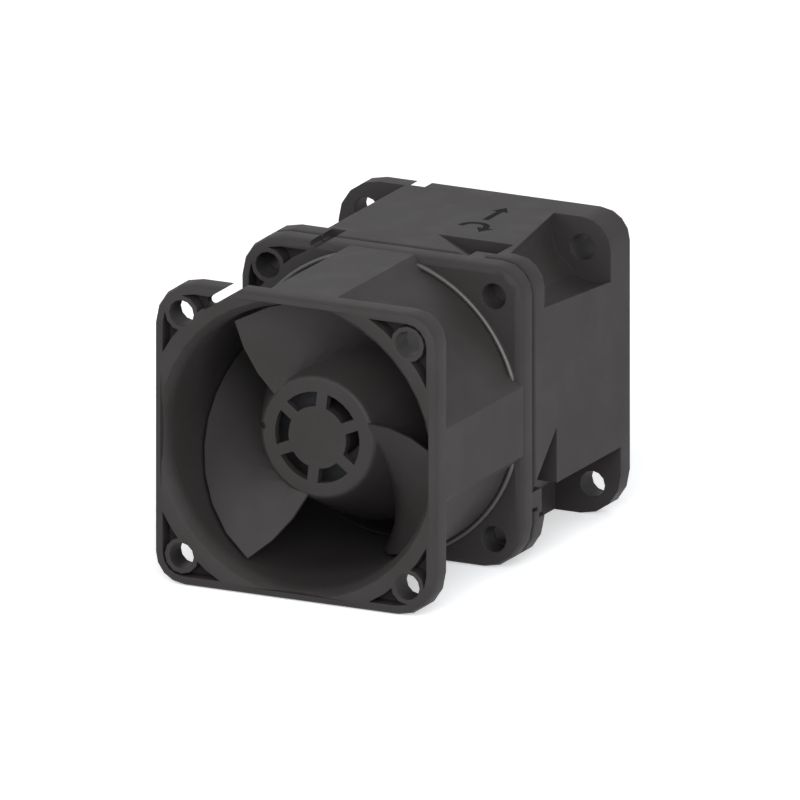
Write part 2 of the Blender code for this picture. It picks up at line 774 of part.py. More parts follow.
def blade_point(form, chord, span, turn):
    """Return a blade's mid-surface point and its local thickness."""
    root_depth, root_angle = bend(form.root, chord)
    tip_depth, tip_angle = bend(form.tip, chord)
    root_radius = hub_radius_at(root_depth) - ROOT_SINK
    radius = root_radius + (TIP_RADIUS - root_radius) * span
    depth = root_depth + (tip_depth - root_depth) * span
    angle = root_angle + (tip_angle - root_angle) * span + turn
    thickness = BLADE_ROOT_THICKNESS + (BLADE_TIP_THICKNESS - BLADE_ROOT_THICKNESS) * span
    fullness = min(1.0, min(chord, 1.0 - chord) / BLADE_EDGE_SHARE)
    thinning = BLADE_EDGE_THICKNESS + (1.0 - BLADE_EDGE_THICKNESS) * fullness
    return around(radius, angle, depth), thickness * thinning


def blade_section(form, span, turn):
    """Return the closed ring of points round a blade at one share of its span."""
    sides = ([], [])
    for step in range(CHORD_STEPS + 1):
        chord = step / CHORD_STEPS
        point, thickness = blade_point(form, chord, span, turn)
        before, _ = blade_point(form, max(0.0, chord - TANGENT_STEP), span, turn)
        after, _ = blade_point(form, min(1.0, chord + TANGENT_STEP), span, turn)
        radial = Vector((point.x, 0.0, point.z)).normalized()
        normal = (after - before).cross(radial).normalized()
        sides[0].append(point + normal * thickness / 2)
        sides[1].append(point - normal * thickness / 2)
    ring = sides[0] + list(reversed(sides[1]))
    radius = TIP_RADIUS if span >= 1.0 else None
    return [trim_to_radius(point, radius) for point in ring]


def trim_to_radius(point, radius):
    """Return a point moved along its spoke to a radius, or unchanged where none is given."""
    if radius is None:
        return point
    flat = Vector((point.x, 0.0, point.z)).normalized() * radius
    return Vector((flat.x, point.y, flat.z))


def blade(form, index):
    """Return one twisted blade, its root sunk into the hub's wall."""
    turn = math.tau * index / form.count
    sections = [blade_section(form, step / SPAN_STEPS, turn) for step in range(SPAN_STEPS + 1)]
    return loft(sections, curved_ends=True)


def hub():
    """Return the hollow conical hub, open at its back, with a boss for the brass bush."""
    skirt = HUB_FACE + HUB_CONE_LENGTH
    pocket = YOKE_RADIUS + FIT
    face = HUB_FACE + HUB_WALL
    slope = (HUB_RADIUS - HUB_FACE_RADIUS) / HUB_CONE_LENGTH
    front_inner = hub_radius_at(face) - HUB_WALL
    pocket_start = YOKE_FACE - FIT
    boss = BUSH_RADIUS + FIT + HUB_WALL
    bush_start = face + FIT
    bevel = HUB_ROUNDING * (1 - math.cos(math.pi / 4))
    profile = [
        (0.0, HUB_FACE),
        (HUB_FACE_RADIUS - HUB_ROUNDING, HUB_FACE),
        (HUB_FACE_RADIUS - bevel, HUB_FACE + bevel),
        (HUB_FACE_RADIUS + slope * HUB_ROUNDING, HUB_FACE + HUB_ROUNDING),
        (HUB_RADIUS, skirt),
        (HUB_RADIUS, HUB_END),
        (pocket, HUB_END),
        (pocket, pocket_start + HUB_WALL),
        (pocket - HUB_WALL, pocket_start),
        (front_inner, face),
        (boss, face),
        (boss, pocket_start),
        (BUSH_RADIUS + FIT, pocket_start),
        (BUSH_RADIUS + FIT, bush_start),
        (0.0, bush_start),
    ]
    return revolve(profile, HUB_TURN)


def slot_tool(index):
    """Return one of the slots in the hub's cap: a ring sector with parallel ends."""
    middle = SLOT_START + math.tau * index / SLOT_COUNT
    pitch = math.pi / SLOT_COUNT
    inner = pitch - math.asin(SLOT_SPOKE / 2 / SLOT_INNER)
    outer = pitch - math.asin(SLOT_SPOKE / 2 / SLOT_OUTER)
    steps = CORNER_STEPS
    outline = arc((0.0, 0.0), SLOT_INNER, middle + inner, middle - inner, steps)
    outline += arc((0.0, 0.0), SLOT_OUTER, middle - outer, middle + outer, steps)
    return prism(outline, HUB_FACE - CUT_MARGIN, HUB_FACE + HUB_WALL + CUT_MARGIN)


def notch_tool():
    """Return the small balancing notch in the rim of the hub's face."""
    spoke = around(HUB_FACE_RADIUS - NOTCH_RADIUS / 2, NOTCH_ANGLE)
    centre = (spoke.x, spoke.z)
    low, high = HUB_FACE - CUT_MARGIN, HUB_FACE + NOTCH_DEPTH
    return cylinder(NOTCH_RADIUS, low, high, SMALL_TURN, centre)


def impeller(form):
    """Return the hub with its slots and blades as one moulding."""
    body = Solid(hub())
    for index in range(SLOT_COUNT):
        body.cut(slot_tool(index))
    body.cut(notch_tool())
    for index in range(form.count):
        body.join(blade(form, index))
    return body.take()


def hub_bush():
    """Return the brass bush that holds the shaft in the hub."""
    bore = SHAFT_RADIUS + FIT
    end = BUSH_START + BUSH_LENGTH
    profile = [(bore, BUSH_START), (BUSH_RADIUS, BUSH_START), (BUSH_RADIUS, end), (bore, end)]
    return revolve(profile, SMALL_TURN)


def rotor_yoke():
    """Return the drawn steel cup that carries the magnet."""
    hole = BUSH_RADIUS + FIT
    inner_face = YOKE_FACE + YOKE_WALL
    profile = [
        (hole, YOKE_FACE),
        (YOKE_RADIUS - YOKE_BEND, YOKE_FACE),
        (YOKE_RADIUS, YOKE_FACE + YOKE_BEND),
        (YOKE_RADIUS, YOKE_END),
        (YOKE_BORE, YOKE_END),
        (YOKE_BORE, inner_face + YOKE_WALL),
        (YOKE_BORE - YOKE_WALL, inner_face),
        (hole, inner_face),
    ]
    return revolve(profile, ROTOR_TURN)


def magnet():
    """Return the ring magnet inside the yoke."""
    start = YOKE_FACE + MAGNET_FRONT_GAP
    end = YOKE_END - FIT
    profile = [(MAGNET_BORE, start), (MAGNET_RADIUS, start), (MAGNET_RADIUS, end), (MAGNET_BORE, end)]
    return revolve(profile, ROTOR_TURN)


def bearing_starts():
    """Return the depths at which the front and the rear bearing start."""
    front = SLEEVE_START + FIT
    return front, front + BEARING_WIDTH + BEARING_SPREAD


def clip_start():
    """Return the depth of the clip behind the rear bearing."""
    return bearing_starts()[1] + BEARING_WIDTH + FIT


def shaft():
    """Return the shaft, from inside the bush to its grooved tail."""
    groove = SHAFT_RADIUS - GROOVE_DEPTH
    clip = clip_start()
    after = clip + CLIP_THICKNESS
    end = after + SHAFT_TAIL
    profile = [
        (0.0, BUSH_START),
        (SHAFT_RADIUS - SHAFT_CHAMFER, BUSH_START),
        (SHAFT_RADIUS, BUSH_START + SHAFT_CHAMFER),
        (SHAFT_RADIUS, clip - FIT / 2),
        (groove, clip - FIT / 2),
        (groove, after + FIT / 2),
        (SHAFT_RADIUS, after + FIT / 2),
        (SHAFT_RADIUS, end - SHAFT_CHAMFER),
        (SHAFT_RADIUS - SHAFT_CHAMFER, end),
        (0.0, end),
    ]
    return revolve(profile, SMALL_TURN)


def shaft_clip():
    """Return the open ring that snaps into the shaft's groove."""
    inner = SHAFT_RADIUS - GROOVE_DEPTH + FIT / 2
    outer = inner + CLIP_WIDTH
    half = math.pi - CLIP_GAP_ANGLE / 2
    steps = SMALL_TURN
    outline = arc((0.0, 0.0), outer, -half, half, steps) + arc((0.0, 0.0), inner, half, -half, steps)
    start = clip_start()
    return prism(outline, start, start + CLIP_THICKNESS)


def preload_spring():
    """Return the small coil spring between the bush and the front bearing."""
    wire = SPRING_WIRE
    mean = SHAFT_RADIUS + FIT + 2 * wire
    start = BUSH_START + BUSH_LENGTH + FIT + wire
    end = bearing_starts()[0] - FIT - wire
    steps = round(SPRING_TURNS * SPRING_TURN)
    rings = []
    for step in range(steps + 1):
        share = step / steps
        angle = math.tau * SPRING_TURNS * share
        centre = around(mean, angle, start + (end - start) * share)
        spoke = around(1.0, angle)
        rise = Vector((0.0, 1.0, 0.0))
        turns = [math.tau * side / WIRE_SIDES for side in range(WIRE_SIDES)]
        rings.append([centre + wire * (spoke * math.cos(a) + rise * math.sin(a)) for a in turns])
    return loft(rings)


def bearing(start):
    """Return a ball bearing, with the shield on its front sunk between the two rings."""
    end = start + BEARING_WIDTH
    bore = SHAFT_RADIUS + FIT
    ring = (BEARING_RADIUS - bore) / 4
    profile = [
        (bore, start),
        (bore + ring, start),
        (bore + ring, start + BEARING_GROOVE),
        (BEARING_RADIUS - ring, start + BEARING_GROOVE),
        (BEARING_RADIUS - ring, start),
        (BEARING_RADIUS, start),
        (BEARING_RADIUS, end),
        (bore, end),
    ]
    return revolve(profile, SMALL_TURN)


def bearing_sleeve():
    """Return the brass tube of the two bearings, with a shoulder between their seats."""
    front, rear = bearing_starts()
    shoulder = SLEEVE_BORE - SLEEVE_SHOULDER
    profile = [
        (SLEEVE_BORE, SLEEVE_START),
        (SLEEVE_RADIUS, SLEEVE_START),
        (SLEEVE_RADIUS, SLEEVE_END),
        (SLEEVE_BORE, SLEEVE_END),
        (SLEEVE_BORE, rear - FIT),
        (shoulder, rear - FIT),
        (shoulder, front + BEARING_WIDTH + FIT),
        (SLEEVE_BORE, front + BEARING_WIDTH + FIT),
    ]
    return revolve(profile, SMALL_TURN)


def stator_outline():
    """Return the outline of the stator: a ring with four teeth that end in wide shoes."""
    ring = STATOR_BORE + STATOR_RING
    neck = math.asin(TOOTH_WIDTH / 2 / ring)
    shoe = STATOR_RADIUS - TOOTH_SHOE
    neck_end = math.asin(TOOTH_WIDTH / 2 / shoe)
    pitch = math.tau / TOOTH_COUNT
    outline = []
    for index in range(TOOTH_COUNT):
        middle = pitch * index
        low = middle - TOOTH_SHOE_ANGLE
        high = middle + TOOTH_SHOE_ANGLE
        outline += arc((0.0, 0.0), shoe, middle - neck_end, low, TOOTH_STEPS)
        outline += arc((0.0, 0.0), STATOR_RADIUS, low, high, SHOE_STEPS)
        outline += arc((0.0, 0.0), shoe, high, middle + neck_end, TOOTH_STEPS)
        outline += arc((0.0, 0.0), ring, middle + neck, middle + pitch - neck, TOOTH_STEPS)
    return outline


def stator_plate(start, end):
    """Return the toothed ring between two depths, with its round bore."""
    plate = Solid(prism(stator_outline(), start, end))
    bore = cylinder(STATOR_BORE, start - CUT_MARGIN, end + CUT_MARGIN, SMALL_TURN)
    return plate.cut(bore).take()


def coil(index):
    """Return one winding round a tooth: a closed loop of wire seen as one rounded ring."""
    inner = STATOR_BORE + STATOR_RING + FIT
    half_hole = TOOTH_WIDTH / 2 + FIT
    across = half_hole + COIL_BUILD
    outer = math.sqrt((STATOR_RADIUS - TOOTH_SHOE - FIT) ** 2 - across ** 2)
    margin = 2 * FIT + INSULATOR_THICKNESS
    low = STATOR_START - margin
    high = STATOR_START + STATOR_STACK + margin
    middle = (low + high) / 2
    rings = []
    for radius in (inner, outer):
        rings.append(loop_points(radius, across, (high - low) / 2 + COIL_LAYER, middle))
    body = Solid(loft(rings))
    hole = [
        loop_points(radius, half_hole, (high - low) / 2, middle)
        for radius in (inner - CUT_MARGIN / 4, outer + CUT_MARGIN / 4)
    ]
    bm = body.cut(loft(hole)).take()
    turn = Matrix.Rotation(-math.tau * index / TOOTH_COUNT, 4, "Y")
    bmesh.ops.transform(bm, matrix=turn, verts=bm.verts)
    return bm


def loop_points(radius, half_width, half_depth, middle):
    """Return a rectangle with cut corners, across a tooth that points along +X."""
    nick = min(half_width, half_depth) * COIL_CORNER_SHARE
    corners = (
        (half_width - nick, -half_depth), (half_width, nick - half_depth),
        (half_width, half_depth - nick), (half_width - nick, half_depth),
        (nick - half_width, half_depth), (-half_width, half_depth - nick),
        (-half_width, nick - half_depth), (nick - half_width, -half_depth),
    )
    return [(radius, middle + depth, across) for across, depth in corners]


def circuit_board():
    """Return the ring-shaped circuit board in the motor base."""
    outer = HUB_RADIUS - BASE_WALL - BOARD_EDGE_GAP
    start, end = BOARD_START, BOARD_START + BOARD_THICKNESS
    profile = [(STATOR_BORE, start), (outer, start), (outer, end), (STATOR_BORE, end)]
    return revolve(profile, ROTOR_TURN)


def chip(radius, angle, size, start, thickness):
    """Return a small flat chip on the circuit board."""
    half = size / 2
    centre = around(radius, angle)
    low = (centre.x - half, start, centre.z - half)
    high = (centre.x + half, start + thickness, centre.z + half)
    return block(low, high)


def driver_chip():
    """Return the motor driver, behind the circuit board."""
    outer = HUB_RADIUS - BASE_WALL - BOARD_EDGE_GAP
    middle = (outer + STATOR_BORE + SLEEVE_BOSS_WALL) / 2
    start = BOARD_START + BOARD_THICKNESS + FIT
    return chip(middle, CHIP_ANGLE, CHIP_SIZE, start, CHIP_THICKNESS)


def rotation_sensor():
    """Return the sensor in front of the circuit board, under the magnet's edge."""
    angle = math.pi / TOOTH_COUNT
    start = BOARD_START - FIT - SENSOR_THICKNESS
    return chip(MAGNET_RADIUS - MAGNET_WALL / 2, angle, SENSOR_SIZE, start, SENSOR_THICKNESS)


def build_rotor(unit, form, materials):
    """Make the pieces that spin together."""
    unit.add("impeller", impeller(form), materials["impeller"], spins=True)
    unit.add("hub_bush", hub_bush(), materials["brass"], spins=True)
    unit.add("rotor_yoke", rotor_yoke(), materials["steel"], spins=True)
    unit.add("magnet", magnet(), materials["ferrite"], spins=True)
    unit.add("shaft", shaft(), materials["shaft"], spins=True)
    unit.add("shaft_clip", shaft_clip(), materials["clip"], spins=True)
    unit.add("preload_spring", preload_spring(), materials["spring"], spins=True)


def build_stator(unit, materials):
    """Make the still pieces of one motor."""
    core_end = STATOR_START + STATOR_STACK
    front = STATOR_START - FIT
    rear = core_end + FIT
    unit.add("bearing_sleeve", bearing_sleeve(), materials["brass"])
    for name, start in zip(("front", "rear"), bearing_starts()):
        unit.add(f"bearing_{name}", bearing(start), materials["bearing"])
    unit.add("stator_core", stator_plate(STATOR_START, core_end), materials["lamination"])
    unit.add("insulator_front", stator_plate(front - INSULATOR_THICKNESS, front), materials["insulator"])
    unit.add("insulator_rear", stator_plate(rear, rear + INSULATOR_THICKNESS), materials["insulator"])
    for index in range(TOOTH_COUNT):
        unit.add(f"coil_{index + 1}", coil(index), materials["copper"])
    unit.add("circuit_board", circuit_board(), materials["board"])
    unit.add("driver_chip", driver_chip(), materials["chip"])
    unit.add("rotation_sensor", rotation_sensor(), materials["chip"])


def make_materials():
    """Return the part's materials by name."""
    return {
        "casing": make_material("casing_plastic", (0.030, 0.029, 0.030), 0.55),
        "impeller": make_material("impeller_plastic", (0.036, 0.033, 0.034), 0.5),
        "brass": make_material("brass", (0.62, 0.45, 0.20), 0.35, 1.0),
        "steel": make_material("drawn_steel", (0.42, 0.42, 0.43), 0.4, 1.0),
        "ferrite": make_material("ferrite", (0.06, 0.06, 0.065), 0.6),
        "shaft": make_material("ground_steel", (0.60, 0.60, 0.62), 0.2, 1.0),
        "clip": make_material("clip_steel", (0.12, 0.12, 0.13), 0.4, 1.0),
        "spring": make_material("spring_steel", (0.50, 0.50, 0.52), 0.3, 1.0),
        "bearing": make_material("bearing_steel", (0.55, 0.55, 0.57), 0.25, 1.0),
        "lamination": make_material("lamination_steel", (0.25, 0.26, 0.28), 0.5, 1.0),
        "insulator": make_material("insulator_nylon", (0.65, 0.62, 0.55), 0.6),
        "copper": make_material("enamelled_copper", (0.55, 0.22, 0.08), 0.35, 0.6),
        "board": make_material("circuit_board_laminate", (0.02, 0.16, 0.06), 0.45),
        "chip": make_material("chip_resin", (0.02, 0.02, 0.02), 0.6),
    }


def main():
    """Build both fan units."""
    clear_scene()
    materials = make_materials()
    inlet = Unit("inlet", mirrored=False)
    outlet = Unit("outlet", mirrored=True)
    inlet.add("casing", inlet_casing(), materials["casing"])
    outlet.add("casing", outlet_casing(), materials["casing"])
    for unit, form in ((inlet, INLET_BLADES), (outlet, OUTLET_BLADES)):
        build_rotor(unit, form, materials)
        build_stator(unit, materials)


main()
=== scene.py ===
"""Looks of a small counter-rotating axial fan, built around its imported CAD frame.

Lengths are in metres, in the frame's own axes: X to the right, Y along the fan's axis from its
inlet to its outlet, and Z up.
"""
import json
import logging
import math
from dataclasses import dataclass
from enum import Enum, StrEnum
from typing import Mapping, NamedTuple, Union

import bmesh
import bpy
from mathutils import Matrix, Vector


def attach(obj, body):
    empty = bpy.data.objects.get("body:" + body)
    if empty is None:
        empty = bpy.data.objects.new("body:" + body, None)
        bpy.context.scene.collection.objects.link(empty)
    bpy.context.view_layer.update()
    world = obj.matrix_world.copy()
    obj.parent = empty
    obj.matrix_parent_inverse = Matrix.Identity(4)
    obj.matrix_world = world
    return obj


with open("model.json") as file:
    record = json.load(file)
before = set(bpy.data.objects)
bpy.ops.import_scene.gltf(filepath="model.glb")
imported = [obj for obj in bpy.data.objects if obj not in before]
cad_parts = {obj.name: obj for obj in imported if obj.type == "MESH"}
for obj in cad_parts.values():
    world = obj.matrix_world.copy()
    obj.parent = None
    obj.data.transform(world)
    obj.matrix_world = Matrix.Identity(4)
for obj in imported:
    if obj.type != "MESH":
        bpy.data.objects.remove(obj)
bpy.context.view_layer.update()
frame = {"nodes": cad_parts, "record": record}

LOG = logging.getLogger("fan")

Color = tuple[float, float, float]
Number = Union["Socket", float]
Inputs = Mapping[Union[int, str], Union["Socket", Color, float, bool]]

BLACK: Color = (0.0, 0.0, 0.0)
WHITE: Color = (1.0, 1.0, 1.0)

MM = 0.001
AXIS_HEIGHT = 20.0 * MM
HALF_LENGTH = 28.0 * MM
TOP_HEIGHT = 40.0 * MM
EDGE_SOFTNESS = 0.16 * MM
EDGE_SAMPLES = 6

# A Mix node has its sockets once for each data type: these are the places of the colours.
MIX_FIRST, MIX_SECOND, MIX_RESULT = 6, 7, 2


class Operation(StrEnum):
    """What a Math node does with its inputs."""

    ADD = "ADD"
    SUBTRACT = "SUBTRACT"
    MULTIPLY = "MULTIPLY"
    DIVIDE = "DIVIDE"
    POWER = "POWER"
    ABSOLUTE = "ABSOLUTE"
    MAXIMUM = "MAXIMUM"
    MINIMUM = "MINIMUM"
    FRACT = "FRACT"
    SINE = "SINE"


class Slot(StrEnum):
    """The finishes, by the record's slot names. The scene adds the arrowed one and the bead's
    polished one, whose lighter colour is a painted highlight.
    """

    CASING = "casing_plastic"
    ARROWED_CASING = "arrowed_casing_plastic"
    POLISHED_HIGHLIT_CASING = "polished_highlit_casing_plastic"
    IMPELLER = "impeller_plastic"
    BRASS = "brass"
    DRAWN_STEEL = "drawn_steel"
    GROUND_STEEL = "ground_steel"
    CLIP_STEEL = "clip_steel"
    SPRING_STEEL = "spring_steel"
    BEARING_STEEL = "bearing_steel"
    LAMINATION_STEEL = "lamination_steel"
    FERRITE = "ferrite"
    INSULATOR_NYLON = "insulator_nylon"
    ENAMELLED_COPPER = "enamelled_copper"
    CIRCUIT_BOARD = "circuit_board_laminate"
    CHIP_RESIN = "chip_resin"


class Corner(Enum):
    """The barrel's open corners, by their angle from +X towards +Z, in degrees."""

    TOP_RIGHT = 45.0
    TOP_LEFT = 135.0
    BOTTOM_LEFT = 225.0
    BOTTOM_RIGHT = 315.0


class Socket:
    """A node's output that can stand in sums, products and mixes.

    Args:
        graph: The graph that the value belongs to.
        link: The output socket that carries the value.
    """

    def __init__(self, graph: "Graph", link: bpy.types.NodeSocket) -> None:
        """Keep the graph and the output socket."""
        self.graph = graph
        self.link = link

    def _math(self, operation: Operation, *values: Number) -> "Socket":
        """Add one Math node.

        Args:
            operation: What the node does.
            values: The node's inputs, in order.

        Returns:
            The node's output.
        """
        return self.graph.node("ShaderNodeMath", dict(enumerate(values)), operation=operation)

    def __add__(self, other: Number) -> "Socket":
        """Return this value plus another."""
        return self._math(Operation.ADD, self, other)

    def __radd__(self, other: float) -> "Socket":
        """Return a number plus this value."""
        return self._math(Operation.ADD, other, self)

    def __sub__(self, other: Number) -> "Socket":
        """Return this value less another."""
        return self._math(Operation.SUBTRACT, self, other)

    def __rsub__(self, other: float) -> "Socket":
        """Return a number less this value."""
        return self._math(Operation.SUBTRACT, other, self)

    def __mul__(self, other: Number) -> "Socket":
        """Return this value times another."""
        return self._math(Operation.MULTIPLY, self, other)

    def __rmul__(self, other: float) -> "Socket":
        """Return a number times this value."""
        return self._math(Operation.MULTIPLY, other, self)

    def __truediv__(self, other: Number) -> "Socket":
        """Return this value divided by another."""
        return self._math(Operation.DIVIDE, self, other)

    def __rtruediv__(self, other: float) -> "Socket":
        """Return a number divided by this value."""
        return self._math(Operation.DIVIDE, other, self)

    def __neg__(self) -> "Socket":
        """Return this value with its sign turned."""
        return self._math(Operation.MULTIPLY, self, -1.0)

    def __abs__(self) -> "Socket":
        """Return this value without its sign."""
        return self._math(Operation.ABSOLUTE, self)

    def power(self, exponent: float) -> "Socket":
        """Return this value raised to a power."""
        return self._math(Operation.POWER, self, exponent)

    def larger(self, other: Number) -> "Socket":
        """Return the larger of this value and another."""
        return self._math(Operation.MAXIMUM, self, other)

    def smaller(self, other: Number) -> "Socket":
        """Return the smaller of this value and another."""
        return self._math(Operation.MINIMUM, self, other)

    def fraction(self) -> "Socket":
        """Return what this value has past its whole number."""
        return self._math(Operation.FRACT, self)

    def sine(self) -> "Socket":
        """Return the sine of this value, an angle in radians."""
        return self._math(Operation.SINE, self)

    def swing(self, middle: float, width: float) -> "Socket":
        """Return a value that swings about a middle while this one goes from 0 to 1.

        Args:
            middle: The result where this value is a half.
            width: How far the result goes in all.

        Returns:
            The swinging value.
        """
        return middle + (self - 0.5) * width

    def ramp(self, low: float, high: float, start: float = 0.0, end: float = 1.0) -> "Socket":
        """Carry this value smoothly from one range to another.

        Args:
            low: The value that gives the start.
            high: The value that gives the end.
            start: The result at or below low.
            end: The result at or above high.

        Returns:
            The carried value.
        """
        inputs = {"Value": self, "From Min": low, "From Max": high, "To Min": start, "To Max": end}
        return self.graph.node("ShaderNodeMapRange", inputs, interpolation_type="SMOOTHSTEP")


class Graph:
    """A node tree under construction.

    Args:
        tree: The node tree to fill.
    """

    def __init__(self, tree: bpy.types.NodeTree) -> None:
        """Keep the tree."""
        self.tree = tree

    def add(self, kind: str, inputs: Inputs | None = None, **settings: object) -> bpy.types.Node:
        """Make a node, set its settings and then fill its inputs.

        Args:
            kind: The node's Blender type name.
            inputs: Input name or index to a number, a colour or another node's output.
            settings: Properties of the node, such as its operation.

        Returns:
            The node.
        """
        made = self.tree.nodes.new(kind)
        for name, value in settings.items():
            setattr(made, name, value)
        self.fill(made, inputs or {})
        return made

    def node(
        self, kind: str, inputs: Inputs | None = None, output: int | str = 0, **settings: object
    ) -> Socket:
        """Make a node and take one of its outputs.

        Args:
            kind: The node's Blender type name.
            inputs: Input name or index to a number, a colour or another node's output.
            output: The name or index of the output to take.
            settings: Properties of the node, such as its operation.

        Returns:
            The output.
        """
        return Socket(self, self.add(kind, inputs, **settings).outputs[output])

    def fill(self, made: bpy.types.Node, inputs: Inputs) -> None:
        """Link or set some of a node's inputs.

        Args:
            made: The node.
            inputs: Input name or index to a number, a colour or another node's output.
        """
        for name, value in inputs.items():
            target = made.inputs[name]
            if isinstance(value, Socket):
                self.tree.links.new(value.link, target)
            elif target.type == "RGBA":
                target.default_value = (*value, 1.0)
            else:
                target.default_value = value

    def place(self) -> Socket:
        """Return the point of the surface, in the object's own frame."""
        return self.node("ShaderNodeTexCoord", output="Object")

    def axes(self, point: Socket) -> tuple[Socket, Socket, Socket]:
        """Return a point's three coordinates."""
        split = self.add("ShaderNodeSeparateXYZ", {0: point})
        return tuple(Socket(self, out) for out in split.outputs)

    def round_axis(self, point: Socket) -> tuple[Socket, Socket]:
        """Place a point about the fan's axis.

        Args:
            point: The point.

        Returns:
            Its distance from the axis, and where it lies along the axis.
        """
        x, y, z = self.axes(point)
        above = z - AXIS_HEIGHT
        return (x * x + above * above).power(0.5), y

    def noise(self, point: Socket, size: float, detail: float = 2.0, rough: float = 0.5) -> Socket:
        """Make smooth noise.

        Args:
            point: Where the noise is read.
            size: The width of one patch.
            detail: The number of finer layers.
            rough: How strong the finer layers are.

        Returns:
            The noise, between 0 and 1.
        """
        inputs = {"Vector": point, "Scale": 1.0 / size, "Detail": detail, "Roughness": rough}
        return self.node("ShaderNodeTexNoise", inputs, output="Fac")

    def mix(self, factor: Socket, first: Socket | Color, second: Socket | Color) -> Socket:
        """Mix two colours.

        Args:
            factor: 0 for the first colour, 1 for the second.
            first: The first colour.
            second: The second colour.

        Returns:
            The mixed colour.
        """
        settings = {"data_type": "RGBA", "clamp_factor": True}
        inputs = {"Factor": factor, MIX_FIRST: first, MIX_SECOND: second}
        return self.node("ShaderNodeMix", inputs, output=MIX_RESULT, **settings)

    def normal(self, height: Socket) -> Socket:
        """Round the edges and bend the surface by a height.

        Args:
            height: How far the surface stands out.

        Returns:
            The normal.
        """
        soft = self.node("ShaderNodeBevel", {"Radius": EDGE_SOFTNESS}, samples=EDGE_SAMPLES)
        return self.node("ShaderNodeBump", {"Distance": 1.0, "Height": height, "Normal": soft})

    def background(self) -> Socket:
        """Find the rays that show the background: the camera's, mirrored and passed-through ones.

        Returns:
            1 for such a ray, 0 for any other.
        """
        path = self.add("ShaderNodeLightPath")
        names = ("Is Camera Ray", "Is Glossy Ray", "Is Transmission Ray")
        camera, mirrored, passed = (Socket(self, path.outputs[name]) for name in names)
        return camera.larger(mirrored).larger(passed)


class Surface(NamedTuple):
    """What changes over a finish.

    Args:
        tone: Its colour.
        rough: Its roughness.
        height: How far it stands out.
    """

    tone: Socket
    rough: Socket
    height: Socket


@dataclass(frozen=True)
class Finish:
    """What a surface looks like: the base of every finish.

    Args:
        name: The material's name.
        color: Base colour, linear.
        roughness: Middle roughness.
        metallic: 1 for bare metal.
        grain: Width of the finest texture.
        depth: Height of the finest texture.
        specular: Strength of the mirror reflection of a non-metal.
        dark: Brightness of the darker patches, as a share of the base colour.
        light: Brightness of the lighter patches, as a share of the base colour.
        swing: How far the roughness varies.
    """

    name: Slot
    color: Color
    roughness: float = 0.5
    metallic: float = 0.0
    grain: float = 0.15 * MM
    depth: float = 0.01 * MM
    specular: float = 0.5
    dark: float = 0.85
    light: float = 1.1
    swing: float = 0.2

    def make(self) -> bpy.types.Material:
        """Make the material.

        Returns:
            The finished material.
        """
        material = bpy.data.materials.new(self.name)
        material.use_nodes = True
        material.diffuse_color = (*self.color, 1.0)
        graph = Graph(material.node_tree)
        surface = self.surface(graph, graph.place())
        graph.fill(material.node_tree.nodes["Principled BSDF"], {
            "Base Color": surface.tone,
            "Roughness": surface.rough,
            "Normal": graph.normal(surface.height),
            "Metallic": self.metallic,
            "Specular IOR Level": self.specular,
        })
        LOG.info("finish %s", self.name)
        return material

    def surface(self, graph: Graph, point: Socket) -> Surface:
        """Work out what changes over the surface. Each finish has its own way.

        Args:
            graph: The material's graph.
            point: The point of the surface.

        Returns:
            The surface's colour, roughness and height.
        """
        raise NotImplementedError

    def shade(self, factor: float) -> Color:
        """Return the base colour made lighter or darker."""
        return tuple(min(1.0, part * factor) for part in self.color)


@dataclass(frozen=True)
class Moulded(Finish):
    """Moulded plastic: spark-eroded grain, soft mottling and handling polish.

    Args:
        dark: Brightness of the mottling's dark patches.
        light: Brightness of its light patches.
        swing: How far the roughness varies with the grain.
        warmth: Tint of the dark patches.
        mottle: Width of a patch.
        glint: Brightness of the grain's tips: a painted highlight.
        glint_share: How much of the tips' colour is used.
        wear: Width of a rubbed patch.
        polish: How much smoother the rubbed patches are.
    """

    dark: float = 0.9
    light: float = 1.07
    swing: float = 0.14
    warmth: Color = (1.04, 1.0, 0.98)
    mottle: float = 9.0 * MM
    glint: float = 1.3
    glint_share: float = 0.3
    wear: float = 4.5 * MM
    polish: float = 0.05

    def surface(self, graph: Graph, point: Socket) -> Surface:
        """Mottle the colour, paint highlights on the grain's tips, and polish the grain in
        patches.

        Args:
            graph: The material's graph.
            point: The point of the surface.

        Returns:
            The surface's colour, roughness and height.
        """
        fine = graph.noise(point, self.grain, detail=3.0, rough=0.6)
        cloud = graph.noise(point, self.mottle, detail=3.0)
        rubbed = graph.noise(point, self.wear, detail=3.0, rough=0.55)
        dark = tuple(part * self.dark * tint for part, tint in zip(self.color, self.warmth))
        tone = graph.mix(cloud.ramp(low=0.32, high=0.68), dark, self.shade(self.light))
        # Painted highlight: the grain's tips are lightened.
        tips = fine.ramp(low=0.35, high=0.75, end=self.glint_share)
        tone = graph.mix(tips, tone, self.shade(self.glint))
        rough = fine.swing(self.roughness, self.swing)
        rough = rough - rubbed.ramp(low=0.42, high=0.8) * self.polish
        return Surface(tone, rough, fine * self.depth)


